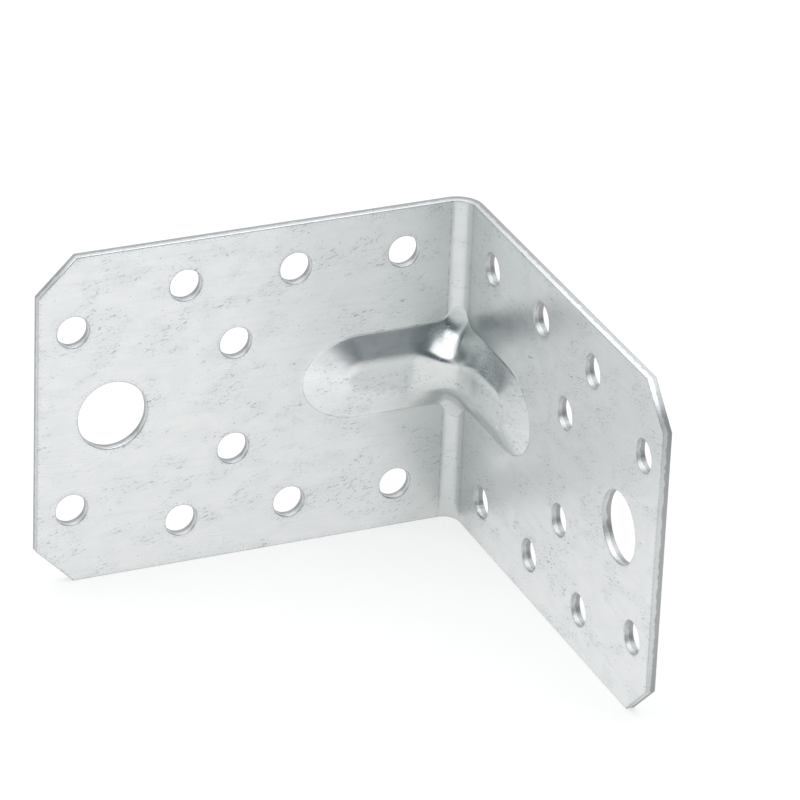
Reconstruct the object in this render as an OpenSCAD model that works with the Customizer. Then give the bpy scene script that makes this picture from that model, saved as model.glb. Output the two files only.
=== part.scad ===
/* [Sheet] */
// Length of each leg, from the outer face of the other leg to the free end
leg_length = 70; // [62:1:100]
// Width of the sheet, along the fold
width = 54.2; // [50:0.1:90]
// Thickness of the steel sheet
sheet_t = 1.5; // [1:0.1:2.5]
// Inside radius of the fold
fold_r = 2.5; // [1:0.1:4]
// Corner cut at each free corner, measured along both edges
corner_cut = 6; // [2:0.5:8]

/* [Nail holes] */
// Diameter of a nail hole
nail_d = 5; // [3:0.1:6]
// Number of nail holes in the row along each side edge
row_count = 3; // [1:1:3]
// First hole of a row, from the outer face of the other leg
row_start = 11.5; // [9:0.1:14]
// Distance from one hole of a row to the next
row_pitch = 17.6; // [14:0.1:18]
// Middle of a row, from the sheet's side edge
row_edge = 7.3; // [5:0.1:9]
// Middle pair, from the outer face of the other leg
mid_pair_at = 38.5; // [34:0.1:42]
// Distance between the two holes of the middle pair
mid_pair_gap = 17.8; // [10:0.1:22]
// End pair, from the free end
end_pair_edge = 5.6; // [4:0.1:7]
// Distance between the two holes of the end pair
end_pair_gap = 29.8; // [24:0.1:32]

/* [Bolt hole] */
// Diameter of the bolt hole
bolt_d = 11; // [8:0.1:13]
// Bolt hole, from the free end
bolt_edge = 12; // [9:0.1:14]

/* [Rib] */
// Height of the pressed rib over the inside face of a leg
rib_h = 2.1; // [1.2:0.1:3]
// Width of the rib at its foot, on a leg
rib_w = 14; // [11:0.1:18]
// Width of the flat land along the top of the rib, on a leg
rib_land = 3; // [2:0.1:6]
// End of the rib, from the outer face of the other leg
rib_reach = 27.5; // [24:0.1:32]
// Length over which each end of the rib narrows and runs out
rib_nose = 9.5; // [7:0.1:11]
// Radius that the top of the rib follows from one leg to the other
rib_corner_r = 7.6; // [5:0.1:10]
// Extra half width of the rib's foot where it meets the fold
rib_flare = 2.4; // [0.6:0.1:3]

/* [Hidden] */
$fn = 96;

// The sheet is drawn about the corner of its two outer faces, at the middle of its width.
// A leg's own measure u runs from the outer face of the other leg to the free end.
fold_end = sheet_t + fold_r;

// The rib's top follows one leg, an arc and the other leg. The arc's centre lies this far
// from both outer faces, and from both inside faces.
rib_centre = sheet_t + rib_h + rib_corner_r;
rib_centre_in = rib_h + rib_corner_r;
// Where the rib's nose begins
rib_end = rib_reach - rib_nose;
// Length of the land past the start of the nose
rib_tip = 2.4;
// Share by which the flank bows in, where the rib crosses the fold
rib_bow = 0.2;
// Share of the flank that rounds over from the land, along the sides and at the nose
side_round = 0.36;
end_round = 0.12;
arc_steps = 24;
end_steps = 16;
round_steps = 5;
flank_steps = 4;
tail_steps = 2;

// Distance from the arc's centre to the inside face, at angle a from a leg's normal
function face_at(a) =
    let (m = rib_centre_in - fold_r, b = m * (sin(a) + cos(a)))
    rib_centre_in * tan(a) <= m
        ? rib_centre_in / cos(a)
        : b + sqrt(b * b - 2 * m * m + fold_r * fold_r);
corner_h = face_at(45) - rib_corner_r;

// What the land gains in height from a leg to the fold, as a share at height h
corner_gain = corner_h - rib_h;
function gain(h) = max(0, h - rib_h) / corner_gain;

// Distance from the rib's middle to the edge of its land and to its foot, towards a turn
function oval(long, wide, turn) = 1 / norm([cos(turn) / long, sin(turn) / wide]);
function land_edge(turn) = oval(rib_tip, rib_land / 2, turn);
function foot_edge(turn) = oval(rib_nose, rib_w / 2, turn);
function flank_round(turn) =
    end_round + (side_round - end_round) * min(1, rib_land / 2 / land_edge(turn));

// Height of the flank over the inside face, at a distance from the rib's middle
function flank_lift(h, turn, reach) =
    let (
        r = flank_round(turn),
        q = (reach - land_edge(turn)) / (foot_edge(turn) - land_edge(turn)),
        fall = q < r ? q * q / (2 * r) : q - r / 2,
        share = 1 - fall / (1 - r / 2)
    )
    h * share * (1 - rib_bow * gain(h) * min(1, 1 - share));

// The flank runs into a shallow web where the rib crosses the fold
web_h = 0.27 * corner_gain;
web_blend = 0.45 * corner_gain;
function web_lift(h, reach) = h - corner_h + web_h * (1 - (reach - rib_w / 2) / rib_flare);
function smooth_max(a, b) = max(a, b) + web_blend / 6 * pow(max(0, 1 - abs(a - b) / web_blend), 3);

// Distance from the rib's middle at which its skin has gone a depth under the inside face
function reach_under(h, turn, depth) =
    let (edge = land_edge(turn), r = flank_round(turn))
    max(
        edge + (foot_edge(turn) - edge) * ((1 + depth / h) * (1 - r / 2) + r / 2),
        rib_w / 2 + rib_flare * (1 + (h - corner_h + depth) / web_h)
    );

// A station of the rib holds the point on the inside face, the direction to the open
// side, the direction to the free end, the height of the land and the turn of its flank
function on_leg(u, turn) = [[-u, -sheet_t], [0, -1], [-1, 0], rib_h, turn];
function on_arc(a, turn) =
    let (r = face_at(min(a, 90 - a)), d = [sin(a), cos(a)])
    [[-rib_centre, -rib_centre] + r * d, -d, [0, 0], r - rib_corner_r, turn];
function swapped(s) = [[s[0].y, s[0].x], [s[1].y, s[1].x], [s[2].y, s[2].x], s[3], s[4]];

// Stations along one flank, from one leg's round end to the other's
function flank_side(turn) = [
    on_leg(rib_end, turn),
    on_leg((rib_end + rib_centre) / 2, turn),
    for (i = [0:arc_steps]) on_arc(90 * i / arc_steps, turn),
    swapped(on_leg((rib_end + rib_centre) / 2, turn)),
    swapped(on_leg(rib_end, turn))
];
function reversed(list) = [for (i = [len(list) - 1:-1:0]) list[i]];
function end_turn(i) = 180 * i / end_steps - 90;

// The closed line of stations round the rib: end, flank, end and flank
stations = concat(
    [for (i = [1:end_steps - 1]) on_leg(rib_end, end_turn(i))],
    flank_side(90),
    [for (i = [1:end_steps - 1]) swapped(on_leg(rib_end, -end_turn(i)))],
    reversed(flank_side(-90))
);
side_count = len(flank_side(90));
end_count = end_steps - 1;
loop = len(stations);
last_ring = round_steps + flank_steps + tail_steps;

// Point of the rib's skin at station s, at a distance from the rib's middle
function skin(s, reach) =
    let (
        lift = smooth_max(flank_lift(s[3], s[4], reach), web_lift(s[3], reach)),
        xy = s[0] + s[2] * reach * cos(s[4]) + s[1] * lift
    )
    [xy.x, xy.y, reach * sin(s[4])];

// Distance of ring j from the rib's middle: down the rounding, the flank and a depth below it
function ring_reach(s, j, depth) =
    let (
        edge = land_edge(s[4]),
        foot = foot_edge(s[4]),
        over = edge + (foot - edge) * flank_round(s[4]),
        under = j - round_steps - flank_steps
    )
    j <= round_steps
        ? edge + (over - edge) * j / round_steps
        : under <= 0
            ? foot + (foot - over) * under / flank_steps
            : foot + (reach_under(s[3], s[4], depth) - foot) * under / tail_steps;

// Unit normal of the skin at station i of a ring, towards the open side
function skin_normal(i, j, depth) =
    let (
        s = stations[i],
        reach = ring_reach(s, j, depth),
        next = stations[(i + 1) % loop],
        last = stations[(i + loop - 1) % loop],
        along = skin(next, ring_reach(next, j, depth)) - skin(last, ring_reach(last, j, depth)),
        down = skin(s, reach + 0.01) - skin(s, reach - 0.01),
        n = cross(along, down),
        facing = n.x * s[1].x + n.y * s[1].y
    )
    n / norm(n) * sign(facing);

// Rings of the skin, from the land to a depth under the inside face, set back behind it.
// The last ring is set back straight, so that each face that closes it is flat.
function set_back(i, j, depth) =
    j < last_ring ? skin_normal(i, j, depth) : [stations[i][1].x, stations[i][1].y, 0];
function ring_points(depth, back) = [
    for (j = [0:last_ring], i = [0:loop - 1])
        skin(stations[i], ring_reach(stations[i], j, depth)) - back * set_back(i, j, depth)
];

// Faces between one ring and the next
function band_faces(j) = [
    for (i = [0:loop - 1])
        let (next = (i + 1) % loop, inner = j * loop, outer = (j + 1) * loop)
        for (f = [[outer + i, outer + next, inner + next], [outer + i, inner + next, inner + i]])
            f
];

// Faces that close a ring from one flank to the other
function near_flank(k) = end_count + k;
function far_flank(k) = loop - 1 - k;
function cap_faces() = concat(
    [for (k = [0:side_count - 2])
        [near_flank(k), near_flank(k + 1), far_flank(k + 1), far_flank(k)]],
    [[far_flank(0), for (i = [0:end_count]) i]],
    [[for (i = [0:end_count + 1]) near_flank(side_count - 1) + i]]
);

// The rib as a closed solid, down to a depth under the inside face
module rib_solid(depth, back) {
    polyhedron(
        points = ring_points(depth, back),
        faces = concat(
            cap_faces(),
            [for (j = [0:last_ring - 1]) each band_faces(j)],
            [for (f = cap_faces()) reversed([for (i = f) last_ring * loop + i])]
        )
    );
}

// Flat outline of a leg, from the fold to the free end, with its holes
module leg_outline() {
    side = width / 2;
    difference() {
        polygon([
            [fold_end, -side],
            [leg_length - corner_cut, -side],
            [leg_length, -side + corner_cut],
            [leg_length, side - corner_cut],
            [leg_length - corner_cut, side],
            [fold_end, side]
        ]);
        for (s = [-1, 1]) {
            for (i = [0:row_count - 1])
                translate([row_start + i * row_pitch, s * (side - row_edge)]) circle(d = nail_d);
            translate([mid_pair_at, s * mid_pair_gap / 2]) circle(d = nail_d);
            translate([leg_length - end_pair_edge, s * end_pair_gap / 2]) circle(d = nail_d);
        }
        translate([leg_length - bolt_edge, 0]) circle(d = bolt_d);
    }
}

// One leg: its outline, a sheet thick, with its outer face on the X axis
module leg() {
    translate([0, -sheet_t, 0])
        rotate([90, 0, 180])
            linear_extrude(sheet_t) leg_outline();
}

// The quarter turn that joins the legs
module fold() {
    translate([-fold_end, -fold_end, -width / 2])
        rotate_extrude(angle = 90)
            translate([fold_r, 0]) square([sheet_t, width]);
}

// The blank folded square, its holes punched through the flat legs
module folded_sheet() {
    leg();
    mirror([1, -1, 0]) leg();
    fold();
}

// The bracket stands on its side edges. The rib is pressed through the sheet, so that its
// back is the same shape as its front, one sheet thickness behind it.
module bracket() {
    color([0.8, 0.82, 0.82])
        translate([leg_length / 2, leg_length / 2, width / 2])
            difference() {
                union() {
                    folded_sheet();
                    rib_solid(sheet_t / 2, 0);
                }
                rib_solid(sheet_t, sheet_t);
            }
}

bracket();
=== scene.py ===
import math

import bpy
from mathutils import Matrix, Vector


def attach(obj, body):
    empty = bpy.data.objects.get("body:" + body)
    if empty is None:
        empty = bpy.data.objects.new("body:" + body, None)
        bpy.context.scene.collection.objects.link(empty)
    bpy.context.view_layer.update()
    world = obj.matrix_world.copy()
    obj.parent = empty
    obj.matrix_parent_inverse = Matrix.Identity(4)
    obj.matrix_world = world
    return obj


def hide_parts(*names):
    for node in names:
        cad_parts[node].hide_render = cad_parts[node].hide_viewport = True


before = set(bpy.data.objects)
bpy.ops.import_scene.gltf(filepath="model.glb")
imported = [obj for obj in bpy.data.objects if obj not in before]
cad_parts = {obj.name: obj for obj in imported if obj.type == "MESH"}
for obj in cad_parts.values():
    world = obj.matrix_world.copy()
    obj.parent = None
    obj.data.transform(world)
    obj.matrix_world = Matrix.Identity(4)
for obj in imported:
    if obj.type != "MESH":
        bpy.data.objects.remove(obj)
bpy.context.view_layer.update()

# The blank: galvanised steel sheet, sheared to a strip as wide as the bracket with its four free
# corners cut off, before it is pressed and folded. It is drawn flat: X runs along the strip from
# the middle of the fold, Y across it, and Z from its inside face down through the sheet.
sheet = 0.0015
half_width = 0.0271
leg_length = 0.070
corner_cut = 0.006
fold_radius = 0.0025
fold_half = fold_radius * math.pi / 4
free_end = leg_length - sheet - fold_radius + fold_half

# The rib, with a flat land along its top that runs out in an oval nose at each end. Where it
# crosses the fold it stands higher, its flanks bow in and its foot flares into a shallow web.
rib_height = 0.0021
rib_half = 0.007
land_half, land_tip = 0.0015, 0.0024
rib_end, rib_nose = 0.0165, 0.0095
rib_arc = 0.0076
rib_flare = 0.0024
side_round, end_round = 0.36, 0.12
foot_blend, rib_bow = 0.00018, 0.2
rib_centre = rib_height + rib_arc
corner_height = math.sqrt(2) * (rib_centre - fold_radius) + fold_radius - rib_arc
corner_gain = corner_height - rib_height
web_height, web_blend = 0.27 * corner_gain, 0.45 * corner_gain

# Width of the fine mesh kept along every edge, and the least distance that tells two places apart
GUARD = 0.0007
TINY = 1e-6


def along(u):
    """Place along the blank of a point on a leg's inside face, u from the inner corner."""
    return u - fold_radius + fold_half


def rib_over(s):
    """Height of the rib's land over the inside face at place s along the blank."""
    straight = abs(s) - fold_half
    turn = math.pi / 4 - min(abs(s), fold_half) / fold_radius
    x = fold_radius * (math.sin(turn) - 1) - max(0, straight)
    y = fold_radius * (math.cos(turn) - 1)
    return math.hypot(min(x, -rib_centre) - x, rib_centre + y) - rib_arc


def rib_foot(height):
    """Half width of the rib where its flank, or the web in the fold, meets the inside face."""
    gain = max(0, height - rib_height) / corner_gain
    low, high = rib_half / 2, rib_half + 2 * rib_flare
    for _ in range(30):
        reach = (low + high) / 2
        fall = (reach - land_half) / (rib_half - land_half) - side_round / 2
        share = 1 - fall / (1 - side_round / 2)
        flank = height * share * (1 - rib_bow * gain * min(1, 1 - share))
        web = height - corner_height + web_height * (1 - (reach - rib_half) / rib_flare)
        near = max(0, 1 - abs(flank - web) / web_blend)
        if max(flank, web) + web_blend * near**3 / 6 > 0:
            low = reach
        else:
            high = reach
    return low


def steps(low, high, count):
    """Evenly spaced values after the low one, up to the high one."""
    return [low + (high - low) * i / count for i in range(1, count + 1)]


# Places along the blank with a line of mesh across the rib. The flats begin past the fold.
flat_start = fold_half + 0.0004
ahead = [0, *steps(0, fold_half, 10), flat_start]
ahead += steps(flat_start, along(rib_centre), 24) + steps(along(rib_centre), along(rib_end), 14)
stations = [-s for s in reversed(ahead[1:])] + ahead
in_fold = [i for i, s in enumerate(stations) if abs(s) < flat_start + TINY]

# Rays across the rib's flank, all the way round it: one side, an end, the other side, an end.
# A ray has its start on the rib's middle, its direction, and the reach of the land and the foot.
END_TURNS = 36
crossings = [(s, 0, 1, land_half, rib_foot(rib_over(s))) for s in stations]
rays = list(crossings)
for side in (1, -1):
    for k in range(1, END_TURNS):
        turn = side * (math.pi / 2 - math.pi * k / END_TURNS)
        ahead_part, side_part = math.cos(turn), math.sin(turn)
        land = 1 / math.hypot(ahead_part / land_tip, side_part / land_half)
        foot = 1 / math.hypot(ahead_part / rib_nose, side_part / rib_half)
        rays.append((side * along(rib_end), side * ahead_part, side_part, land, foot))
    if side == 1:
        rays += [(s, 0, -1, land, foot) for s, _, _, land, foot in reversed(crossings)]

# The points of a ray lie at shares of the flank from the land out, then closely round the foot.
flank_shares = [0.045 * i for i in range(10)] + [0.48, 0.56, 0.64, 0.72, 0.80, 0.87]
foot_offsets = [0.00009 * i for i in range(-4, 5)] + [GUARD]


def ray_point(ray, level):
    """Place on the blank of one of a ray's points, by its number from the land out."""
    start, ahead_part, side_part, land, foot = ray
    if level < len(flank_shares):
        reach = land + (foot - land) * flank_shares[level]
    else:
        reach = foot + foot_offsets[level - len(flank_shares)]
    return start + ahead_part * reach, side_part * reach


levels = len(flank_shares) + len(foot_offsets)
points, faces = [], []
front_seam, back_seam = set(), set()
from_foot = {}


def add_point(x, y, z):
    """Sets a point on the blank and gives its number."""
    points.append((x, y, z))
    return len(points) - 1


def add_strip(lower, upper, closed, flip):
    """Quads between two rows of points of one length."""
    count = len(lower)
    for i in range(count if closed else count - 1):
        j = (i + 1) % count
        quad = (lower[i], lower[j], upper[j], upper[i])
        faces.append(quad[::-1] if flip else quad)


# The sheared outline, with its rolled-over inside edge, its straight wall and the small break at
# the outside. Each row of it is the outline set in by a little, at its own depth.
outline = [(-free_end, half_width - corner_cut), (-free_end + corner_cut, half_width)]
outline += [(stations[i], half_width) for i in in_fold]
outline += [(free_end - corner_cut, half_width), (free_end, half_width - corner_cut)]
outline += [(-x, -y) for x, y in outline]


def set_in(inset):
    """The outline moved in by the same distance on every side."""
    made = []
    for i, (x, y) in enumerate(outline):
        last_x, last_y = outline[i - 1]
        next_x, next_y = outline[(i + 1) % len(outline)]
        before = Vector((y - last_y, last_x - x)).normalized()
        after = Vector((next_y - y, x - next_x)).normalized()
        mitre = (before + after) / (1 + before.dot(after))
        made.append((x + mitre.x * inset, y + mitre.y * inset))
    return made


# A row of points runs this close beside each bend of a cut edge, so that the bend shades crisp.
BESIDE = 0.0001


def rolled_edge(width, depth, bevel):
    """How far in, and how deep, each row of a cut edge lies, from the inside face down."""
    turns = [math.pi / 2 * i / 5 for i in range(6)]
    rows = [(GUARD, 0)]
    rows += [(width * (1 - math.sin(t)), -depth * (1 - math.cos(t))) for t in turns]
    rows += [(0, -depth - BESIDE), (0, -sheet + bevel + BESIDE), (0, -sheet + bevel)]
    rows += [(bevel * 0.3, -sheet + bevel * 0.3), (bevel, -sheet), (bevel + BESIDE, -sheet)]
    return rows + [(GUARD, -sheet)]


edge_rows = []
for inset, depth in rolled_edge(width=0.00022, depth=0.00018, bevel=0.00006):
    edge_rows.append([add_point(x, y, depth) for x, y in set_in(inset)])
for upper, lower in zip(edge_rows, edge_rows[1:]):
    add_strip(upper, lower, closed=True, flip=False)
for seam, row in ((front_seam, edge_rows[0]), (back_seam, edge_rows[-1])):
    seam.update(i for i in row if abs(points[i][0]) > flat_start - TINY)

# The mesh of the rib and of the fold, on both faces of the blank. Rings run round the rib, the
# land is closed from one flank to the other, and lines run on from the foot to the side edges.
SIDE_QUADS = 8
both_faces = ((0, front_seam, edge_rows[0], False), (-sheet, back_seam, edge_rows[-1], True))
for depth, seam, edge, flip in both_faces:
    rings = [[add_point(*ray_point(r, level), depth) for r in rays] for level in range(levels)]
    for level, ring in enumerate(rings):
        off_foot = foot_offsets[max(0, level - len(flank_shares))]
        from_foot.update({i: off_foot for i in ring})
    for inner, outer in zip(rings, rings[1:]):
        add_strip(inner, outer, closed=True, flip=flip)
    seam.update(i for i in rings[-1] if abs(points[i][0]) > flat_start - TINY)
    count, land = len(stations), rings[0]
    far_start = count + END_TURNS - 1
    near = land[:count + END_TURNS // 2]
    far = land[far_start:far_start + count][::-1]
    far = far + land[count + END_TURNS // 2:far_start][::-1]
    tail = land[far_start + count:]
    half = len(tail) // 2
    near = tail[half:] + near
    far = tail[:half + 1][::-1] + far
    add_strip(near[1:-1], far[1:len(near) - 1], closed=False, flip=not flip)
    for tip in ((near[0], near[1], far[1]), (near[-1], far[len(near) - 2], near[-2])):
        faces.append(tip[::-1] if not flip else tip)
    for side in (1, -1):
        row_of = {round(points[i][0], 7): i for i in edge if points[i][1] * side > 0}
        lines = []
        for i in in_fold:
            ray = i if side == 1 else far_start + count - 1 - i
            start = rings[-1][ray]
            stop = row_of[round(stations[i], 7)]
            foot_y, side_y = points[start][1], points[stop][1]
            inner = []
            for k in range(1, SIDE_QUADS):
                y = foot_y + (side_y - foot_y) * k / SIDE_QUADS
                inner.append(add_point(stations[i], y, depth))
            lines.append([start, *inner, stop])
            if abs(stations[i]) > fold_half + TINY:
                seam.update(inner)
        for a, b in zip(lines, lines[1:]):
            add_strip(a, b, closed=False, flip=(side == 1) != flip)

field_count = len(points)

# The punched holes, given by their centres and by one round rim that is set at each of them.
# Each leg has ten holes for nails and one for a bolt, and the punch rolls their inside edge over.
nail_r, bolt_r = 0.0025, 0.0055
bolt_at = 0.058
row_at, row_off = (0.0115, 0.0291, 0.0467), 0.0198
mid_pair_at, mid_pair_off = 0.0385, 0.0089
end_pair_at, end_pair_off = 0.0644, 0.0149
holes = [(bolt_at, 0, bolt_r)]
holes += [(u, y, nail_r) for u in row_at for y in (row_off, -row_off)]
holes += [(mid_pair_at, y, nail_r) for y in (mid_pair_off, -mid_pair_off)]
holes += [(end_pair_at, y, nail_r) for y in (end_pair_off, -end_pair_off)]
centres = [(side * along(u - sheet), y, r) for side in (1, -1) for u, y, r in holes]
for x, y, r in centres:
    add_point(x, y, 0)
rim_start = len(points)
rim_out = {}
RIM_POINTS = 64
rim_rows = []
for out, depth in rolled_edge(width=0.00026, depth=0.00022, bevel=0.00007):
    row = []
    for k in range(RIM_POINTS):
        turn = 2 * math.pi * k / RIM_POINTS
        row.append(add_point(math.cos(turn), math.sin(turn), depth))
        rim_out[row[-1]] = out
    rim_rows.append(row)
for upper, lower in zip(rim_rows, rim_rows[1:]):
    add_strip(upper, lower, closed=True, flip=False)
front_seam.update(rim_rows[0])
back_seam.update(rim_rows[-1])

# What the press needs to know of each point of the blank, next to its place.
FIELD, CENTRE, RIM = 0, 1, 2
rim_count = len(points) - rim_start
blank = bpy.data.meshes.new("blank")
blank.from_pydata(points, [], faces)
blank.validate()
kinds = [FIELD] * field_count + [CENTRE] * len(centres) + [RIM] * rim_count
blank.attributes.new("kind", "INT", "POINT").data.foreach_set("value", kinds)
values = {
    "hole_r": [0.0] * field_count + [r for x, y, r in centres] + [0.0] * rim_count,
    "rim_out": [rim_out.get(i, 0.0) for i in range(len(points))],
    "from_foot": [from_foot.get(i, GUARD) for i in range(len(points))],
    "front_seam": [float(i in front_seam) for i in range(len(points))],
    "back_seam": [float(i in back_seam) for i in range(len(points))],
}
for name, value in values.items():
    blank.attributes.new(name, "FLOAT", "POINT").data.foreach_set("value", value)
bracket = bpy.data.objects.new("bracket_sheet", blank)
bpy.context.scene.collection.objects.link(bracket)

# The press and the fold: the rule that takes a place on the flat blank to its place on the
# finished bracket. The rib is pressed towards the open side, and its top follows a wide arc.


def feed(tree, node, values):
    """Joins each value, a socket or a plain number, to an input of the node."""
    sockets = [s for s in node.inputs if s.enabled]
    for socket, value in zip(sockets, values):
        if isinstance(value, bpy.types.NodeSocket):
            tree.links.new(value, socket)
        elif value is not None:
            socket.default_value = value
    return node


def reckon(tree, step, *values):
    """One step of arithmetic on sockets or plain numbers."""
    node = tree.nodes.new("ShaderNodeMath")
    node.operation = step
    return feed(tree, node, values).outputs[0]


def reckon_vector(tree, step, *values):
    """One step of arithmetic on places or directions."""
    node = tree.nodes.new("ShaderNodeVectorMath")
    node.operation = step
    feed(tree, node, values)
    return node.outputs["Value" if step in ("LENGTH", "DOT_PRODUCT") else "Vector"]


def join_axes(tree, x, y, z):
    """A place made from its three parts."""
    return feed(tree, tree.nodes.new("ShaderNodeCombineXYZ"), (x, y, z)).outputs[0]


def new_group(name, kind, inputs, outputs):
    """A node group with named sockets, and the nodes for its input and its output."""
    tree = bpy.data.node_groups.new(name, kind)
    for way, sockets in (("INPUT", inputs), ("OUTPUT", outputs)):
        for label, socket_type, *value in sockets:
            made = tree.interface.new_socket(label, in_out=way, socket_type=socket_type)
            if value:
                made.default_value = value[0]
    return tree, tree.nodes.new("NodeGroupInput"), tree.nodes.new("NodeGroupOutput")


FLOAT, VECTOR = "NodeSocketFloat", "NodeSocketVector"
PRESS_SIZES = {
    "Fold radius": fold_radius, "Rib height": rib_height, "Rib half width": rib_half,
    "Land half width": land_half, "Land tip": land_tip, "Rib end": rib_end, "Nose": rib_nose,
    "Bow": rib_bow, "Arc radius": rib_arc, "Flare": rib_flare, "Foot blend": foot_blend,
    "Web height": web_height, "Web blend": web_blend,
}
skin, given, result = new_group(
    "pressed_skin", "GeometryNodeTree",
    [("Along", FLOAT), ("Across", FLOAT)] + [(k, FLOAT, v) for k, v in PRESS_SIZES.items()],
    [("Place", VECTOR)])
size = given.outputs
radius = size["Fold radius"]

# Where the place comes to lie on the folded inside face. One leg is reckoned, and the other is
# its mirror image: the place is told by its distance from the middle of the fold.
off_middle = reckon(skin, "ABSOLUTE", size["Along"])
bend_half = reckon(skin, "MULTIPLY", radius, math.pi / 4)
bent = reckon(skin, "MINIMUM", off_middle, bend_half)
turn = reckon(skin, "SUBTRACT", math.pi / 4, reckon(skin, "DIVIDE", bent, radius))
beyond = reckon(skin, "SUBTRACT", off_middle, bent)
fold_x = reckon(skin, "MULTIPLY", radius, reckon(skin, "SINE", turn))
face_x = reckon(skin, "SUBTRACT", reckon(skin, "SUBTRACT", fold_x, radius), beyond)
fold_y = reckon(skin, "MULTIPLY", radius, reckon(skin, "COSINE", turn))
face_y = reckon(skin, "SUBTRACT", fold_y, radius)

# The axis of the arc that the rib's top follows, the land's height over the face, and the share
# of the way from its height on a leg to its height in the fold.
centre = reckon(skin, "ADD", size["Rib height"], size["Arc radius"])
axis_at = reckon(skin, "MULTIPLY", centre, -1.0)
to_x = reckon(skin, "SUBTRACT", reckon(skin, "MINIMUM", face_x, axis_at), face_x)
to_y = reckon(skin, "SUBTRACT", axis_at, face_y)
to_axis = join_axes(skin, to_x, to_y, 0.0)
height = reckon(skin, "SUBTRACT", reckon_vector(skin, "LENGTH", to_axis), size["Arc radius"])
corner = reckon(skin, "MULTIPLY_ADD", reckon(skin, "SUBTRACT", centre, radius), math.sqrt(2), radius)
corner = reckon(skin, "SUBTRACT", corner, size["Arc radius"])
rise = reckon(skin, "MAXIMUM", reckon(skin, "SUBTRACT", height, size["Rib height"]), 0.0)
rise = reckon(skin, "DIVIDE", rise, reckon(skin, "SUBTRACT", corner, size["Rib height"]))

# How far from the rib's middle the place is, and in which direction.
past_end = reckon(skin, "ADD", face_x, size["Rib end"])
past_end = reckon(skin, "MAXIMUM", reckon(skin, "MULTIPLY", past_end, -1.0), 0.0)
spread = join_axes(skin, past_end, size["Across"], 0.0)
reach = reckon(skin, "MAXIMUM", reckon_vector(skin, "LENGTH", spread), TINY)
toward = reckon_vector(skin, "NORMALIZE", spread)


def edge_towards(length, width):
    """Distance to the edge of an oval, half of it past the rib's end, along the place's ray."""
    oval = reckon_vector(skin, "DIVIDE", toward, join_axes(skin, length, width, 1.0))
    oval = reckon(skin, "MAXIMUM", reckon_vector(skin, "LENGTH", oval), 1.0)
    return reckon(skin, "DIVIDE", 1.0, oval)


# The flank falls from the land to the foot, rounded over at the top and bowed in at the fold.
land = edge_towards(size["Land tip"], size["Land half width"])
flank = reckon(skin, "SUBTRACT", edge_towards(size["Nose"], size["Rib half width"]), land)
down = reckon(skin, "DIVIDE", reckon(skin, "SUBTRACT", reach, land), flank)
down = reckon(skin, "MAXIMUM", down, 0.0)
left = reckon(skin, "SUBTRACT", 1.0, down)
sideways = reckon(skin, "MINIMUM", reckon(skin, "DIVIDE", size["Land half width"], land), 1.0)
round_share = reckon(skin, "MULTIPLY_ADD", sideways, side_round - end_round, end_round)
slope = reckon(skin, "DIVIDE", 1.0, reckon(skin, "MULTIPLY_ADD", round_share, -0.5, 1.0))
shoulder = reckon(skin, "MAXIMUM", reckon(skin, "SUBTRACT", round_share, down), 0.0)
shoulder = reckon(skin, "DIVIDE", reckon(skin, "POWER", shoulder, 2.0), round_share)
shoulder = reckon(skin, "MULTIPLY", shoulder, 0.5)
share = reckon(skin, "MULTIPLY", reckon(skin, "SUBTRACT", left, shoulder), slope)
fallen = reckon(skin, "MINIMUM", reckon(skin, "SUBTRACT", 1.0, share), 1.0)
bow = reckon(skin, "MULTIPLY", fallen, reckon(skin, "MULTIPLY", rise, size["Bow"]))
share = reckon(skin, "MULTIPLY", share, reckon(skin, "SUBTRACT", 1.0, bow))
lift = reckon(skin, "MULTIPLY", share, height)

# The web takes over from the flank in the fold, and both run out softly into the face.
past_foot = reckon(skin, "SUBTRACT", reach, size["Rib half width"])
web = reckon(skin, "SUBTRACT", 1.0, reckon(skin, "DIVIDE", past_foot, size["Flare"]))
under_top = reckon(skin, "SUBTRACT", height, corner)
web = reckon(skin, "MULTIPLY_ADD", web, size["Web height"], under_top)
lift = reckon(skin, "SMOOTH_MAX", lift, web, size["Web blend"])
lift = reckon(skin, "SMOOTH_MAX", lift, 0.0, size["Foot blend"])

# The face is pushed by that lift towards the axis, and set on the leg that the place is on.
push = skin.nodes.new("ShaderNodeVectorMath")
push.operation = "SCALE"
feed(skin, push, (reckon_vector(skin, "NORMALIZE", to_axis),))
skin.links.new(lift, push.inputs["Scale"])
pressed_at = reckon_vector(skin, "ADD", join_axes(skin, face_x, face_y, 0.0), push.outputs["Vector"])
axes = skin.nodes.new("ShaderNodeSeparateXYZ")
skin.links.new(pressed_at, axes.inputs[0])
other_leg = reckon(skin, "GREATER_THAN", size["Along"], 0.0)
swap = reckon(skin, "SUBTRACT", axes.outputs[1], axes.outputs[0])
swap = reckon(skin, "MULTIPLY", swap, other_leg)
place = join_axes(
    skin, reckon(skin, "ADD", axes.outputs[0], swap),
    reckon(skin, "SUBTRACT", axes.outputs[1], swap), size["Across"])
inner_corner = leg_length / 2 - sheet
place = reckon_vector(skin, "ADD", place, (inner_corner, inner_corner, half_width))
skin.links.new(place, result.inputs["Place"])

# The work on the blank, in its order: the rims are set at the holes, the flat faces between them
# filled in and welded on, and then the whole is pressed, folded and coated.
form, given, result = new_group(
    "punch_press_and_fold", "GeometryNodeTree",
    [("Geometry", "NodeSocketGeometry"), ("Sheet", FLOAT, sheet), ("Zinc", "NodeSocketMaterial")]
    + [(k, FLOAT, v) for k, v in PRESS_SIZES.items()],
    [("Geometry", "NodeSocketGeometry")])
given_to_form = given.outputs


def attribute(name, kind="FLOAT"):
    """A value that each point carries under a name."""
    node = form.nodes.new("GeometryNodeInputNamedAttribute")
    node.data_type = kind
    node.inputs["Name"].default_value = name
    return [s for s in node.outputs if s.enabled][0]


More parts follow.
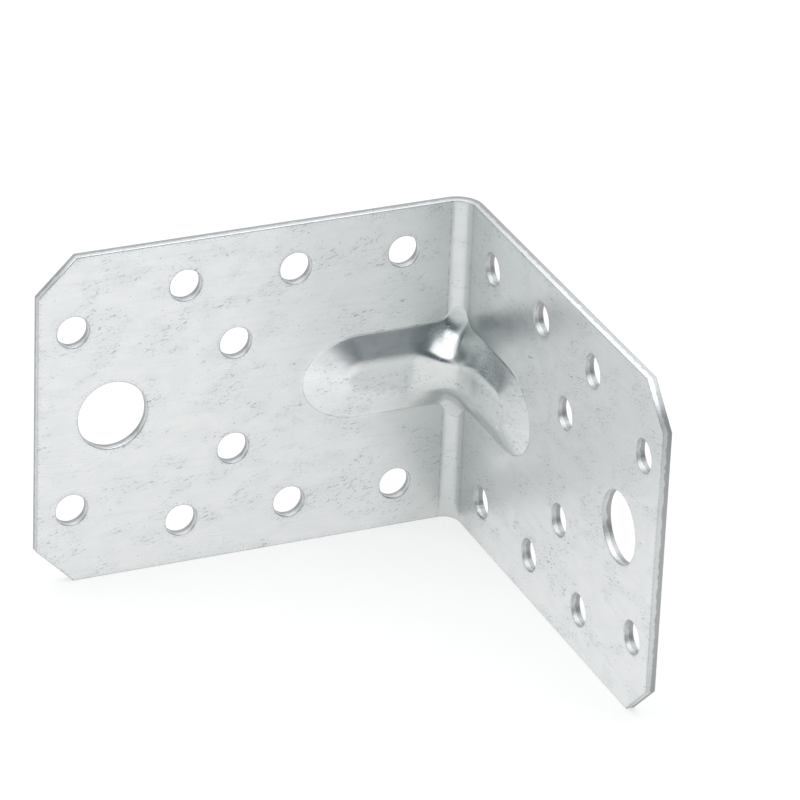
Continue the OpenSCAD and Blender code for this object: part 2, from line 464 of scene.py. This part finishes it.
def store(geometry, name, kind, value):
    """The geometry, with a value noted on each point under a name."""
    node = form.nodes.new("GeometryNodeStoreNamedAttribute")
    node.data_type = kind
    node.domain = "POINT"
    node.inputs["Name"].default_value = name
    form.links.new(geometry, node.inputs["Geometry"])
    form.links.new(value, [s for s in node.inputs if s.name == "Value" and s.enabled][0])
    return node.outputs["Geometry"]


def part(geometry, kind):
    """The points of one kind, and the rest."""
    node = form.nodes.new("GeometryNodeSeparateGeometry")
    same = form.nodes.new("FunctionNodeCompare")
    same.data_type = "INT"
    same.operation = "EQUAL"
    feed(form, same, (attribute("kind", "INT"),))
    [s for s in same.inputs if s.enabled][1].default_value = kind
    form.links.new(geometry, node.inputs["Geometry"])
    form.links.new(same.outputs[0], node.inputs["Selection"])
    return node.outputs["Selection"], node.outputs["Inverted"]


def join(*geometries):
    """Several geometries as one."""
    node = form.nodes.new("GeometryNodeJoinGeometry")
    for geometry in geometries:
        form.links.new(geometry, node.inputs[0])
    return node.outputs[0]


def set_place(geometry, place):
    """The geometry with its points moved to new places."""
    node = form.nodes.new("GeometryNodeSetPosition")
    form.links.new(geometry, node.inputs["Geometry"])
    form.links.new(place, node.inputs["Position"])
    return node.outputs["Geometry"]


here = form.nodes.new("GeometryNodeInputPosition").outputs[0]
hole_points, rest = part(given_to_form["Geometry"], CENTRE)
rim, field = part(rest, RIM)
hole_points = store(hole_points, "punch_centre", "FLOAT_VECTOR", here)
hole_points = store(hole_points, "punch_r", "FLOAT", attribute("hole_r"))
punch = form.nodes.new("GeometryNodeInstanceOnPoints")
form.links.new(hole_points, punch.inputs["Points"])
form.links.new(rim, punch.inputs["Instance"])
rims = form.nodes.new("GeometryNodeRealizeInstances")
form.links.new(punch.outputs[0], rims.inputs[0])
from_centre = form.nodes.new("ShaderNodeSeparateXYZ")
punch_centre = attribute("punch_centre", "FLOAT_VECTOR")
form.links.new(reckon_vector(form, "SUBTRACT", here, punch_centre), from_centre.inputs[0])
rim_radius = reckon(form, "ADD", attribute("punch_r"), attribute("rim_out"))
rim_place = join_axes(
    form, reckon(form, "MULTIPLY", from_centre.outputs[0], rim_radius),
    reckon(form, "MULTIPLY", from_centre.outputs[1], rim_radius), from_centre.outputs[2])
rim_place = reckon_vector(form, "ADD", rim_place, punch_centre)
skeleton = join(field, set_place(rims.outputs[0], rim_place))

flats = []
for seam, back in (("front_seam", False), ("back_seam", True)):
    loops = form.nodes.new("GeometryNodeMeshToCurve")
    form.links.new(skeleton, loops.inputs["Mesh"])
    form.links.new(reckon(form, "GREATER_THAN", attribute(seam), 0.99), loops.inputs["Selection"])
    filled = form.nodes.new("GeometryNodeFillCurve")
    form.links.new(loops.outputs[0], filled.inputs["Curve"])
    made = filled.outputs[0]
    if back:
        down = form.nodes.new("GeometryNodeTransform")
        form.links.new(made, down.inputs["Geometry"])
        depth = join_axes(form, 0.0, 0.0, reckon(form, "MULTIPLY", given_to_form["Sheet"], -1.0))
        form.links.new(depth, down.inputs["Translation"])
        flip = form.nodes.new("GeometryNodeFlipFaces")
        form.links.new(down.outputs[0], flip.inputs[0])
        made = flip.outputs[0]
    flats.append(made)
weld = form.nodes.new("GeometryNodeMergeByDistance")
form.links.new(join(skeleton, *flats), weld.inputs["Geometry"])
weld.inputs["Distance"].default_value = 2 * TINY
whole = store(weld.outputs[0], "blank_place", "FLOAT_VECTOR", here)

flat_axes = form.nodes.new("ShaderNodeSeparateXYZ")
form.links.new(attribute("blank_place", "FLOAT_VECTOR"), flat_axes.inputs[0])


def skin_at(along_by, across_by):
    """Place on the pressed inside face of a point a little beside this one."""
    node = form.nodes.new("GeometryNodeGroup")
    node.node_tree = skin
    form.links.new(reckon(form, "ADD", flat_axes.outputs[0], along_by), node.inputs["Along"])
    form.links.new(reckon(form, "ADD", flat_axes.outputs[1], across_by), node.inputs["Across"])
    for label in PRESS_SIZES:
        form.links.new(given_to_form[label], node.inputs[label])
    return node.outputs[0]


# The sheet keeps its thickness: each point is set back square to the inside face.
NUDGE = 0.00003
step_along = reckon_vector(form, "SUBTRACT", skin_at(NUDGE, 0.0), skin_at(-NUDGE, 0.0))
step_across = reckon_vector(form, "SUBTRACT", skin_at(0.0, NUDGE), skin_at(0.0, -NUDGE))
facing = reckon_vector(form, "CROSS_PRODUCT", step_along, step_across)
facing = reckon_vector(form, "NORMALIZE", facing)
through = form.nodes.new("ShaderNodeVectorMath")
through.operation = "SCALE"
form.links.new(facing, through.inputs[0])
form.links.new(flat_axes.outputs[2], through.inputs["Scale"])
formed = set_place(whole, reckon_vector(form, "ADD", skin_at(0.0, 0.0), through.outputs[0]))
smooth = form.nodes.new("GeometryNodeSetShadeSmooth")
form.links.new(formed, smooth.inputs["Geometry"])
coated = form.nodes.new("GeometryNodeSetMaterial")
form.links.new(smooth.outputs[0], coated.inputs["Geometry"])
form.links.new(given_to_form["Zinc"], coated.inputs["Material"])
form.links.new(coated.outputs[0], result.inputs[0])

# The zinc coat, drawn by the place on the flat blank, so that it was on the sheet before the
# sheet was cut. It is cloudy, with streaks along the rolling direction and clusters of short
# dark dashes. The sheared walls are bare steel with drag marks from the punch.


def mask_between(tree, value, low, high):
    """A mask that rises smoothly from 0 to 1 as the value goes from low to high."""
    node = tree.nodes.new("ShaderNodeMapRange")
    node.interpolation_type = "SMOOTHSTEP"
    return feed(tree, node, (value, low, high)).outputs["Result"]


def lay_over(tree, share, under, over):
    """One colour, a socket or a plain value, laid over another by a mask."""
    mix = tree.nodes.new("ShaderNodeMix")
    mix.data_type = "RGBA"
    return [s for s in feed(tree, mix, (share, under, over)).outputs if s.enabled][0]


def noise(tree, place, waves, stretch=(1, 1, 1), detail=2.0, swirl=0.0):
    """Noise by place in metres, so many waves to the metre, drawn out by the stretch."""
    node = tree.nodes.new("ShaderNodeTexNoise")
    drawn = reckon_vector(tree, "MULTIPLY", place, tuple(waves / x for x in stretch))
    tree.links.new(drawn, node.inputs["Vector"])
    node.inputs["Scale"].default_value = 1.0
    node.inputs["Detail"].default_value = detail
    node.inputs["Distortion"].default_value = swirl
    return node.outputs["Fac"]


def effect(name, outputs):
    """A shader group that draws its masks from the place on the blank."""
    tree, given, result = new_group(
        name, "ShaderNodeTree", [("Place", VECTOR)], [(label, FLOAT) for label in outputs])
    return tree, given.outputs["Place"], result.inputs


# The zinc as it froze: soft clouds, streaks drawn out along the strip, and a fine grain.
bloom, at, out = effect("zinc_bloom", ("Cloud", "Streak", "Grain"))
cloud = noise(bloom, at, waves=460, stretch=(1.7, 1, 1), detail=6.0, swirl=0.5)
streak = noise(bloom, at, waves=1500, stretch=(24, 1, 1), detail=3.0)
bloom.links.new(mask_between(bloom, cloud, 0.36, 0.66), out["Cloud"])
bloom.links.new(streak, out["Streak"])
bloom.links.new(noise(bloom, at, waves=3800), out["Grain"])

# Marks on it: clusters of short slanting dashes, single pits and hair scratches.
specks, at, out = effect("zinc_specks", ("Cluster", "Dashes", "Scratches"))


def skewed(degrees):
    """The place on the blank, turned by an angle for marks that run aslant."""
    node = specks.nodes.new("ShaderNodeMapping")
    specks.links.new(at, node.inputs["Vector"])
    node.inputs["Rotation"].default_value = (0, 0, math.radians(degrees))
    return node.outputs[0]


cluster = noise(specks, skewed(-20), waves=230, stretch=(1.8, 1, 1), detail=3.0, swirl=0.6)
cluster = mask_between(specks, cluster, 0.45, 0.62)
dash = noise(specks, skewed(-15), waves=3400, stretch=(3.6, 1, 1), detail=3.0, swirl=1.4)
dash = reckon(specks, "MULTIPLY", mask_between(specks, dash, 0.57, 0.67), cluster)
pit = noise(specks, at, waves=2300, stretch=(1.3, 1, 1), detail=1.0)
pit = mask_between(specks, pit, 0.72, 0.78)
hair = noise(specks, skewed(7), waves=7000, stretch=(180, 1, 1), detail=1.0)
specks.links.new(cluster, out["Cluster"])
specks.links.new(reckon(specks, "MAXIMUM", dash, pit), out["Dashes"])
specks.links.new(mask_between(specks, hair, 0.72, 0.77), out["Scratches"])

# Cut edges: the distance to the nearest one is the least of those to the strip's end, its side,
# the corner cut and the holes of a quarter of the pattern, which repeats in all four quarters.
sheared, at, out = effect("sheared_steel", ("Wall", "Fracture", "Lip", "Rolled", "Drag"))
flat = sheared.nodes.new("ShaderNodeSeparateXYZ")
sheared.links.new(at, flat.inputs[0])
off_fold = reckon(sheared, "ABSOLUTE", flat.outputs[0])
off_middle = reckon(sheared, "ABSOLUTE", flat.outputs[1])
depth = flat.outputs[2]
to_end = reckon(sheared, "SUBTRACT", free_end, off_fold)
to_side = reckon(sheared, "SUBTRACT", half_width, off_middle)
to_cut = reckon(sheared, "SUBTRACT", reckon(sheared, "ADD", to_end, to_side), corner_cut)
gap = reckon(sheared, "MINIMUM", to_side, reckon(sheared, "MULTIPLY", to_cut, math.sqrt(0.5)))
gap = reckon(sheared, "MINIMUM", to_end, gap)
quarter = join_axes(sheared, off_fold, off_middle, 0.0)
for x, y, r in centres:
    if x > 0 and y >= 0:
        from_hole = reckon_vector(sheared, "SUBTRACT", quarter, (x, y, 0))
        from_hole = reckon(sheared, "SUBTRACT", reckon_vector(sheared, "LENGTH", from_hole), r)
        gap = reckon(sheared, "MINIMUM", gap, from_hole)
below_roll = mask_between(sheared, depth, -0.00012, -0.00022)
above_bevel = mask_between(sheared, depth, -sheet, -sheet + 0.00009)
wall = reckon(sheared, "MULTIPLY", above_bevel, below_roll)
ragged = reckon(sheared, "MULTIPLY_ADD", noise(sheared, at, waves=900), 0.0007, depth)
torn = reckon(sheared, "MULTIPLY", wall, mask_between(sheared, ragged, -0.0003, -0.0005))
sheared.links.new(wall, out["Wall"])
sheared.links.new(torn, out["Fracture"])
sheared.links.new(mask_between(sheared, gap, 0.0011, 0.0002), out["Lip"])
# The band next to each cut edge, which carries a painted shade line there.
sheared.links.new(mask_between(sheared, gap, 0.00026, 0.0001), out["Rolled"])
sheared.links.new(noise(sheared, at, waves=2600, stretch=(1, 1, 14)), out["Drag"])

# Painted shade from the fold: the coat is darkened towards the fold, where the inside corner
# lies in shade, and a broken dark line of painted shade runs along each of its sides.
marks, at, out = effect("painted_fold_shade", ("Near fold", "Bend line", "Inside"))
flat = marks.nodes.new("ShaderNodeSeparateXYZ")
marks.links.new(at, flat.inputs[0])
off_fold = reckon(marks, "ABSOLUTE", flat.outputs[0])
off_line = reckon(marks, "ABSOLUTE", reckon(marks, "SUBTRACT", off_fold, fold_half))
broken = mask_between(marks, noise(marks, at, waves=1500, stretch=(1, 2, 1)), 0.36, 0.6)
bend_shade = reckon(marks, "MULTIPLY", mask_between(marks, off_line, 0.00022, 0.00002), broken)
marks.links.new(bend_shade, out["Bend line"])
marks.links.new(mask_between(marks, off_fold, 0.015, 0.003), out["Near fold"])
marks.links.new(mask_between(marks, flat.outputs[2], -0.6 * sheet, -0.3 * sheet), out["Inside"])

zinc = bpy.data.materials.new("galvanised_steel")
zinc.use_nodes = True
coat = zinc.node_tree
shader = coat.nodes["Principled BSDF"]
blank_place = coat.nodes.new("ShaderNodeAttribute")
blank_place.attribute_name = "blank_place"
masks = {}
for group in (bloom, specks, sheared, marks):
    node = coat.nodes.new("ShaderNodeGroup")
    node.node_tree = group
    coat.links.new(blank_place.outputs["Vector"], node.inputs["Place"])
    masks.update({socket.name: socket for socket in node.outputs})
foot = coat.nodes.new("ShaderNodeAttribute")
foot.attribute_name = "from_foot"
from_rib = foot.outputs["Fac"]


def faint(mask, share):
    """A mask weakened to a share of itself."""
    return reckon(coat, "MULTIPLY", mask, share)


# Each layer of colour is laid over the ones before it: the coat with its marks, a painted shade
# towards the fold, dark lines of painted shade in the creases at the rib's foot and beside the fold,
# a painted shade band along the rolled-over edges, and last the cut walls, burnished first and torn
# below.
BRIGHT, CLOUDED, DULL_AND_SHADE = (0.82, 0.83, 0.83, 1), (0.762, 0.782, 0.784, 1), (0.54, 0.58, 0.566, 1)
SPECK_AND_SHADE, SCRATCH = (0.25, 0.28, 0.3, 1), (0.58, 0.6, 0.62, 1)
BURNISHED, TORN = (0.7, 0.715, 0.715, 1), (0.4, 0.41, 0.41, 1)
mottle = reckon(coat, "MULTIPLY_ADD", masks["Cluster"], 0.4, faint(masks["Cloud"], 0.45))
colour = lay_over(coat, mottle, BRIGHT, CLOUDED)
colour = lay_over(coat, faint(mask_between(coat, masks["Grain"], 0.4, 0.66), 0.1), colour, DULL_AND_SHADE)
# Painted shade: the coat darkens towards the fold, in the shade of the inside corner.
colour = lay_over(coat, faint(masks["Near fold"], 0.5), colour, DULL_AND_SHADE)
colour = lay_over(coat, faint(mask_between(coat, masks["Streak"], 0.5, 0.8), 0.16), colour, DULL_AND_SHADE)
colour = lay_over(coat, faint(masks["Scratches"], 0.5), colour, SCRATCH)
dotted = reckon(coat, "MULTIPLY", masks["Lip"], mask_between(coat, masks["Grain"], 0.52, 0.66))
dark = reckon(coat, "MAXIMUM", masks["Dashes"], faint(dotted, 0.6))
colour = lay_over(coat, faint(dark, 0.52), colour, SPECK_AND_SHADE)
# Painted shade: a dark line in the crease along the rib's foot and a broken one beside the fold,
# stronger on the inside face.
foot_shade = mask_between(coat, reckon(coat, "ABSOLUTE", from_rib), 0.00014, 0.00003)
foot_shade = reckon(coat, "MULTIPLY", foot_shade, mask_between(coat, masks["Cloud"], -0.6, 0.8))
off_rib = mask_between(coat, from_rib, 0.0, 0.0004)
lines = reckon(coat, "MULTIPLY", masks["Bend line"], off_rib)
lines = reckon(coat, "MAXIMUM", foot_shade, lines)
strength = reckon(coat, "MULTIPLY_ADD", masks["Inside"], 0.25, 0.1)
colour = lay_over(coat, reckon(coat, "MULTIPLY", lines, strength), colour, SPECK_AND_SHADE)
# Painted shade: a thin dark band along every rolled-over cut edge.
colour = lay_over(coat, faint(masks["Rolled"], 0.4), colour, SPECK_AND_SHADE)
cut = lay_over(coat, masks["Fracture"], BURNISHED, TORN)
cut = lay_over(coat, faint(masks["Drag"], 0.4), cut, TORN)
colour = lay_over(coat, masks["Wall"], colour, cut)
coat.links.new(colour, shader.inputs["Base Color"])
shader.inputs["Metallic"].default_value = 1.0

# The press has rubbed the rib smoother than the legs. Specks and cut walls are rougher.
on_rib = mask_between(coat, from_rib, 0.0001, -0.0003)
rough = 0.285
for mask, gain in ((masks["Cloud"], 0.06), (dark, 0.2), (masks["Wall"], 0.14), (on_rib, -0.085)):
    rough = reckon(coat, "MULTIPLY_ADD", mask, gain, rough)
coat.links.new(rough, shader.inputs["Roughness"])

# The relief is a few thousandths of a millimetre high.
relief = reckon(coat, "MULTIPLY_ADD", masks["Streak"], 0.5, faint(masks["Grain"], 0.35))
relief = reckon(coat, "MULTIPLY_ADD", dark, -0.9, relief)
drag_marks = reckon(coat, "MULTIPLY", masks["Wall"], masks["Drag"])
relief = reckon(coat, "MULTIPLY_ADD", drag_marks, 5.0, relief)
bump = coat.nodes.new("ShaderNodeBump")
bump.inputs["Strength"].default_value = 1.0
bump.inputs["Distance"].default_value = 0.000004
coat.links.new(relief, bump.inputs["Height"])
coat.links.new(bump.outputs[0], shader.inputs["Normal"])

# The blank goes through the press, and the bracket that comes out is kept as a plain mesh.
press = bracket.modifiers.new("form", "NODES")
press.node_group = form
settings = {**PRESS_SIZES, "Sheet": sheet, "Zinc": zinc}
for item in form.interface.items_tree:
    if item.in_out == "INPUT" and item.name in settings:
        press[item.identifier] = settings[item.name]
seen = bracket.evaluated_get(bpy.context.evaluated_depsgraph_get())
made = bpy.data.meshes.new_from_object(seen)
bracket.modifiers.remove(press)
bracket.data = made
made.name = "bracket_sheet"
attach(bracket, "root")
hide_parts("bracket")

# The floor is white paper. To the camera and in reflections it is partly its own plain white, so
# that it keeps the bracket's soft shadow on a white ground.
FLOOR, OWN_WHITE = 4, 0.68
corners = [(-FLOOR, -FLOOR, 0), (FLOOR, -FLOOR, 0), (FLOOR, FLOOR, 0), (-FLOOR, FLOOR, 0)]
floor_mesh = bpy.data.meshes.new("floor")
floor_mesh.from_pydata(corners, [], [(0, 1, 2, 3)])
floor = bpy.data.objects.new("floor", floor_mesh)
bpy.context.scene.collection.objects.link(floor)
paper = bpy.data.materials.new("white_paper")
paper.use_nodes = True
tree = paper.node_tree
matt = tree.nodes["Principled BSDF"]
matt.inputs["Base Color"].default_value = (0.93, 0.93, 0.93, 1)
matt.inputs["Roughness"].default_value = 0.9
matt.inputs["Specular IOR Level"].default_value = 0.0
glow = tree.nodes.new("ShaderNodeEmission")
glow.inputs["Color"].default_value = (1, 1, 1, 1)
path = tree.nodes.new("ShaderNodeLightPath")
seen_rays = reckon(tree, "MAXIMUM", path.outputs["Is Camera Ray"], path.outputs["Is Glossy Ray"])
seen_rays = reckon(tree, "MAXIMUM", seen_rays, path.outputs["Is Transmission Ray"])
blend = tree.nodes.new("ShaderNodeMixShader")
tree.links.new(reckon(tree, "MULTIPLY", seen_rays, OWN_WHITE), blend.inputs[0])
tree.links.new(matt.outputs[0], blend.inputs[1])
tree.links.new(glow.outputs[0], blend.inputs[2])
tree.links.new(blend.outputs[0], tree.nodes["Material Output"].inputs["Surface"])
floor_mesh.materials.append(paper)

# The room is white all round, with a dark screen in front and above, behind the camera, which
# gives the rib its dark upper flank. The wall behind the bracket is a soft grey above the floor.
world = bpy.data.worlds.new("studio")
bpy.context.scene.world = world
world.use_nodes = True
tree = world.node_tree
toward = tree.nodes.new("ShaderNodeTexCoord").outputs["Generated"]
SCREEN, BACKDROP, AROUND = (0.08, 0.11, 0.132, 1), (0.74, 0.76, 0.77, 1), (0.95, 0.96, 0.97, 1)
UPWARD, FRONT, BACK = (0.0, 0.0, 1.0), (-0.2, -0.98, 0.0), (-0.5, 0.87, 0.0)


def zone(direction, low, high):
    """A mask that rises from 0 to 1 between two cosines to a direction."""
    return mask_between(tree, reckon_vector(tree, "DOT_PRODUCT", toward, direction), low, high)


behind = reckon(tree, "MULTIPLY", zone(BACK, -0.1, 0.4), zone(UPWARD, 0.08, 0.24))
in_front = reckon(tree, "MULTIPLY", zone(FRONT, 0.2, 0.55), zone(UPWARD, 0.18, 0.32))
room = lay_over(tree, behind, AROUND, BACKDROP)
room = lay_over(tree, in_front, room, SCREEN)
tree.links.new(room, tree.nodes["Background"].inputs["Color"])

# One large round softbox hangs over the bracket.
lamp = bpy.data.lights.new("softbox_above", "AREA")
lamp.energy = 8.2
lamp.shape = "DISK"
lamp.size = 1.52
above = bpy.data.objects.new("softbox_above", lamp)
above.location = (-0.06, -0.02, 0.8)
bpy.context.scene.collection.objects.link(above)

# The camera stands at the photograph's angle, held a little askew. Its place and its long lens
# were fitted to the outlines of the holes.
heading, raised, roll = math.radians(-24.44), math.radians(27.43), math.radians(2.39)
eye = (-0.28233, -0.64007, 0.40569)
level_back = Vector((math.sin(heading), -math.cos(heading), 0)) * math.cos(raised)
back = level_back + Vector((0, 0, math.sin(raised)))
right = Vector((math.cos(heading), math.sin(heading), 0))
up = back.cross(right)
lean_right = right * math.cos(roll) + up * math.sin(roll)
lean_up = up * math.cos(roll) - right * math.sin(roll)
lens = bpy.data.cameras.new("camera")
lens.lens = 246.0
lens.sensor_width = 36
camera = bpy.data.objects.new("camera", lens)
camera.matrix_world = Matrix((
    (lean_right.x, lean_up.x, back.x, eye[0]),
    (lean_right.y, lean_up.y, back.y, eye[1]),
    (lean_right.z, lean_up.z, back.z, eye[2]),
    (0, 0, 0, 1)))
lens.clip_start, lens.clip_end = 0.05, 20
bpy.context.scene.collection.objects.link(camera)
bpy.context.scene.camera = camera
bpy.context.scene.view_settings.view_transform = "Standard"
